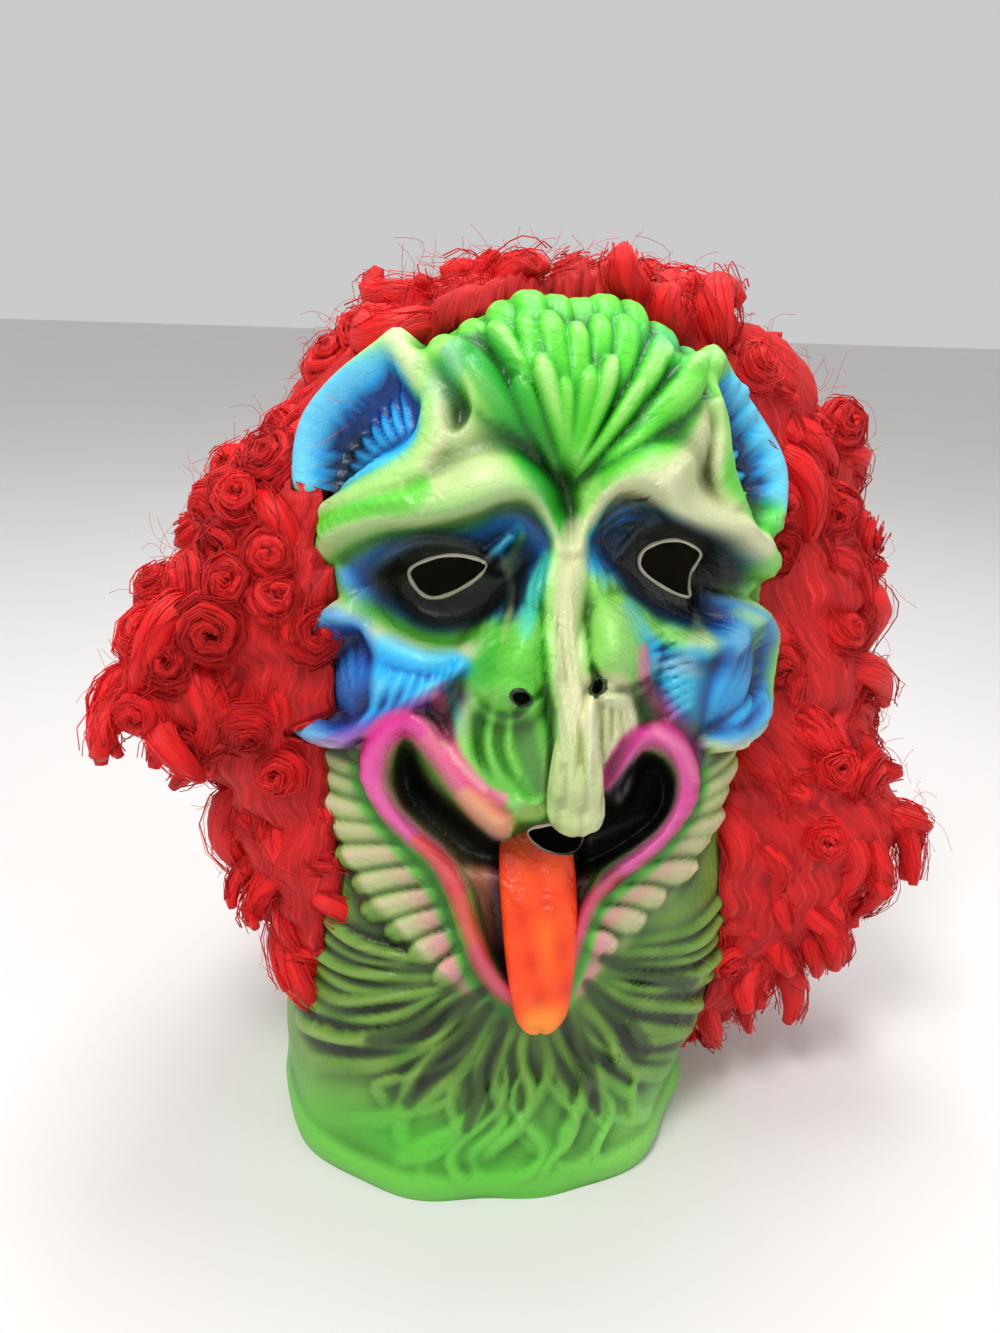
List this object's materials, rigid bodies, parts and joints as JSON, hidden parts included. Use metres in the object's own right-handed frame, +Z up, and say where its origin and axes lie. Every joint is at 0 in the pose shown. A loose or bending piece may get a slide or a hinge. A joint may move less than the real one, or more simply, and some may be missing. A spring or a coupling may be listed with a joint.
{
  "type": "clown mask",
  "caption": "Full-head latex clown mask with carved ridged face, long tongue, open eye, nostril and mouth holes, open neck, and a wide curly wig.",
  "frame": {"origin": "middle of the whole part's footprint box, on the level that the neck's hem stands on", "axes": "+Z up and along the height, which is the longest extent; the face looks along -Y and +X is at the viewer's right"},
  "size_m": [0.3843, 0.2839, 0.4047],
  "materials": {
    "painted_latex": "semi-gloss airbrushed paint on latex, green, blue, magenta, orange and cream",
    "red_hair": "bright red curly synthetic hair"
  },
  "bodies": {
    "root": {"latex_mask": "painted_latex", "hair_wig": "red_hair"}
  },
  "joints": []
}
